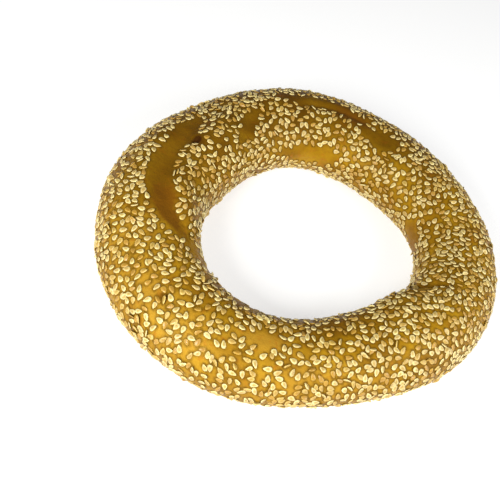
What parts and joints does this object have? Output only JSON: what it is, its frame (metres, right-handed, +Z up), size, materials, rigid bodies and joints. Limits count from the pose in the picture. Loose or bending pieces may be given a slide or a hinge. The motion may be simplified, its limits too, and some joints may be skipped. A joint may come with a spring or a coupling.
{
  "type": "simit",
  "caption": "Uneven ring of baked bread dough, crusted all over with sesame seeds, with a crease where the rope's ends were pressed together.",
  "frame": {"origin": "middle of the ring's bounding box, on the surface that it rests on", "axes": "+Z up through the hole; +X towards the fold pressed into the hole's rim; -Y is the near side in the picture"},
  "size_m": [0.1698, 0.1699, 0.0328],
  "materials": {
    "crust": "golden mustard-brown baked crust with a soft sheen, browner in the creases",
    "sesame_seed": "pale cream to tan hulled sesame, satin"
  },
  "bodies": {
    "root": {"simit": "crust"}
  },
  "joints": []
}
